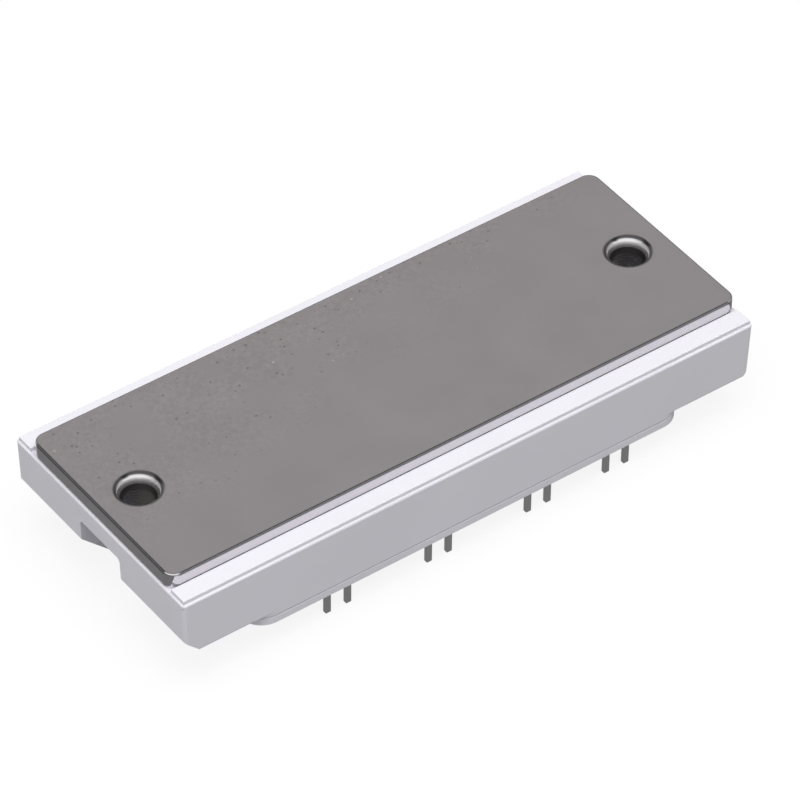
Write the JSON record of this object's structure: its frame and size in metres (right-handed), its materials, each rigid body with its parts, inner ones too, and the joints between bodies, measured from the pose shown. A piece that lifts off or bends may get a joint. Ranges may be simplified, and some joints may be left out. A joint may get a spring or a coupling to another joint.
{
  "type": "igbt module",
  "caption": "Flat moulded power transistor module with a metal heat-sink plate, screw holes at both ends and two rows of solder pins.",
  "frame": {"origin": "under the middle of the case, on the surface that the pin tips stand on", "axes": "+Z out of the heat-sink face, X along the case, the row of eight pins on the -Y side"},
  "size_m": [0.1078, 0.045, 0.0205],
  "materials": {
    "nickel_plate": "matt nickel plating on copper, finely blasted",
    "white_case": "moulded, fine satin grain",
    "sleeve_steel": "plain turned steel",
    "tinned_pin": "tinned, slightly dull",
    "solder": "grey, set",
    "copper": "bare copper",
    "ceramic": "white, matt",
    "silicon": "dark grey with a metal face",
    "bond_aluminium": "bright wire",
    "thermistor_body": "black with bright ends"
  },
  "bodies": {
    "root": {"base_plate": "nickel_plate", "bond_wires_u": "bond_aluminium", "bond_wires_v": "bond_aluminium", "bond_wires_w": "bond_aluminium", "ceramic_u": "ceramic", "ceramic_v": "ceramic", "ceramic_w": "ceramic", "diode_chip_u_high": "silicon", "diode_chip_u_low": "silicon", "diode_chip_v_high": "silicon", "diode_chip_v_low": "silicon", "diode_chip_w_high": "silicon", "diode_chip_w_low": "silicon", "housing_frame": "white_case", "igbt_chip_u_high": "silicon", "igbt_chip_u_low": "silicon", "igbt_chip_v_high": "silicon", "igbt_chip_v_low": "silicon", "igbt_chip_w_high": "silicon", "igbt_chip_w_low": "silicon", "lid": "white_case", "lower_copper_u": "copper", "lower_copper_v": "copper", "lower_copper_w": "copper", "screw_sleeve_left": "sleeve_steel", "screw_sleeve_right": "sleeve_steel", "substrate_solder_u": "solder", "substrate_solder_v": "solder", "substrate_solder_w": "solder", "terminal_pin_far_1": "tinned_pin", "terminal_pin_far_10": "tinned_pin", "terminal_pin_far_11": "tinned_pin", "terminal_pin_far_12": "tinned_pin", "terminal_pin_far_13": "tinned_pin", "terminal_pin_far_2": "tinned_pin", "terminal_pin_far_3": "tinned_pin", "terminal_pin_far_4": "tinned_pin", "terminal_pin_far_5": "tinned_pin", "terminal_pin_far_6": "tinned_pin", "terminal_pin_far_7": "tinned_pin", "terminal_pin_far_8": "tinned_pin", "terminal_pin_far_9": "tinned_pin", "terminal_pin_near_1": "tinned_pin", "terminal_pin_near_2": "tinned_pin", "terminal_pin_near_3": "tinned_pin", "terminal_pin_near_4": "tinned_pin", "terminal_pin_near_5": "tinned_pin", "terminal_pin_near_6": "tinned_pin", "terminal_pin_near_7": "tinned_pin", "terminal_pin_near_8": "tinned_pin", "thermistor": "thermistor_body", "upper_copper_u": "copper", "upper_copper_v": "copper", "upper_copper_w": "copper"}
  },
  "joints": []
}
